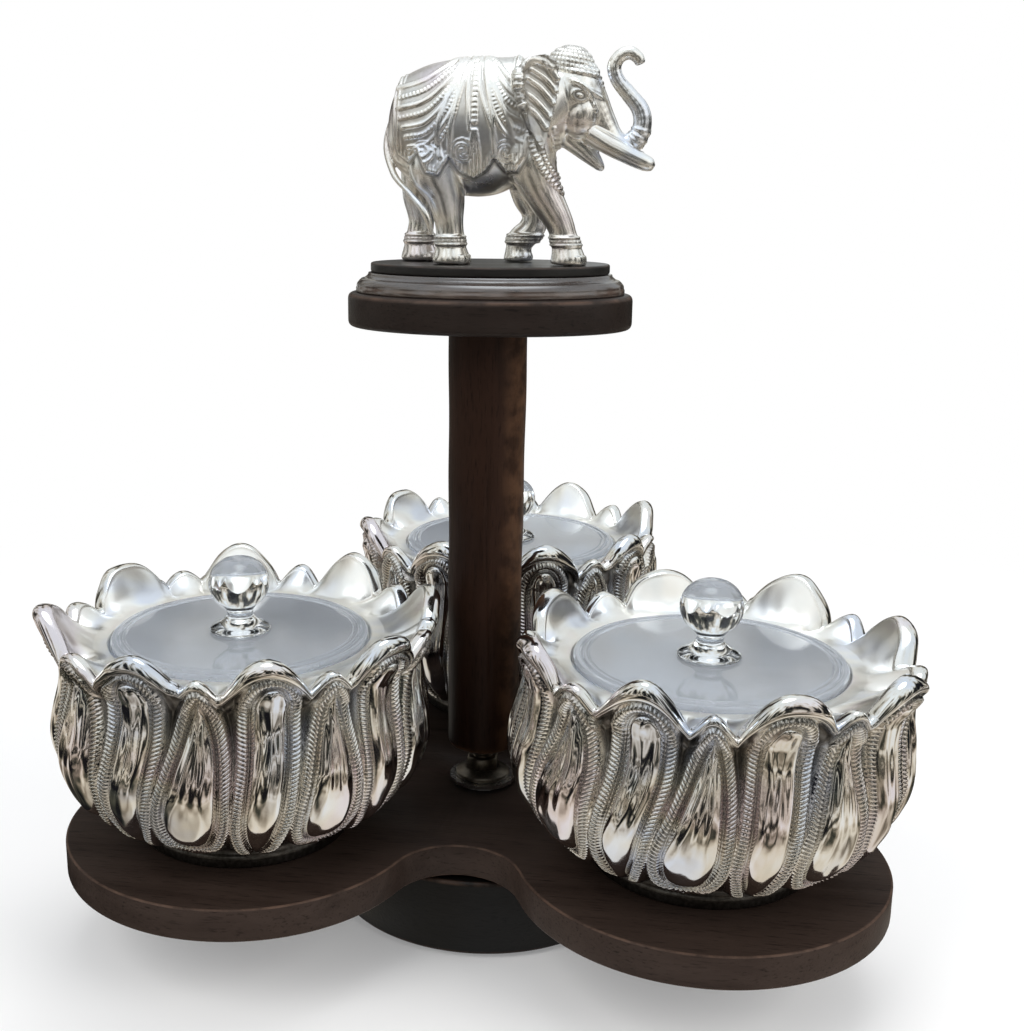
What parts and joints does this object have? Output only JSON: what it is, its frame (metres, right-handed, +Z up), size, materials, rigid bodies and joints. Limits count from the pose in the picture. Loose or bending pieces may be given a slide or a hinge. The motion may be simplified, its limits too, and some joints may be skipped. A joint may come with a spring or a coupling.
{
  "type": "mukhwas stand",
  "caption": "Revolving mukhwas stand: trefoil tray on a round foot, lidded lotus bowls on its lobes, and a centre post with an oval plinth and an elephant.",
  "frame": {"origin": "centre of the underside of the felt pad, on the axis of the spindle", "axes": "+Z up along the spindle; +X the way the elephant faces; +Y towards the back bowl"},
  "size_m": [0.3027, 0.2804, 0.3226],
  "materials": {
    "felt": "short felt",
    "black_wood": "black stain under satin lacquer",
    "post_wood": "dark stain under satin lacquer, fine grain cracks",
    "walnut": "dark walnut stain under satin lacquer, worn at the arris",
    "dark_steel": "blackened",
    "steel": "zinc plated",
    "brass": "machined",
    "nylon": "plain",
    "silver_plate": "polished silver plate, darkened in the recesses",
    "clear_acrylic": "polished"
  },
  "bodies": {
    "stand": {"felt_pad": "felt", "foot_drum": "black_wood", "spindle_bolt": "dark_steel", "thrust_washer": "nylon", "steel_washer": "steel", "flange_nut": "dark_steel", "post": "post_wood", "post_insert": "brass", "plinth_slab": "walnut", "plinth_screw": "steel", "plinth_moulding": "walnut", "plinth_disc": "black_wood", "elephant_screw_1": "steel", "elephant_screw_2": "steel", "elephant": "silver_plate"},
    "turntable": {"tray": "walnut", "tray_bush": "nylon"},
    "left_bowl": {"bowl_left": "silver_plate"},
    "right_bowl": {"bowl_right": "silver_plate"},
    "back_bowl": {"bowl_back": "silver_plate"},
    "left_lid": {"lid_left": "clear_acrylic", "knob_left": "clear_acrylic"},
    "right_lid": {"lid_right": "clear_acrylic", "knob_right": "clear_acrylic"},
    "back_lid": {"lid_back": "clear_acrylic", "knob_back": "clear_acrylic"}
  },
  "joints": [
    {"name": "tray_spin", "type": "hinge", "parent": "stand", "child": "turntable", "pos_m": [0, 0, 0.038], "axis": [0, 0, 1], "continuous": true},
    {"name": "left_bowl_lift", "type": "slide", "parent": "turntable", "child": "left_bowl", "axis": [0, 0, 1], "range_m": [0, 0.04]},
    {"name": "right_bowl_lift", "type": "slide", "parent": "turntable", "child": "right_bowl", "axis": [0, 0, 1], "range_m": [0, 0.04]},
    {"name": "back_bowl_lift", "type": "slide", "parent": "turntable", "child": "back_bowl", "axis": [0, 0, 1], "range_m": [0, 0.04]},
    {"name": "left_lid_lift", "type": "slide", "parent": "left_bowl", "child": "left_lid", "axis": [0, 0, 1], "range_m": [0, 0.03]},
    {"name": "right_lid_lift", "type": "slide", "parent": "right_bowl", "child": "right_lid", "axis": [0, 0, 1], "range_m": [0, 0.03]},
    {"name": "back_lid_lift", "type": "slide", "parent": "back_bowl", "child": "back_lid", "axis": [0, 0, 1], "range_m": [0, 0.03]}
  ]
}
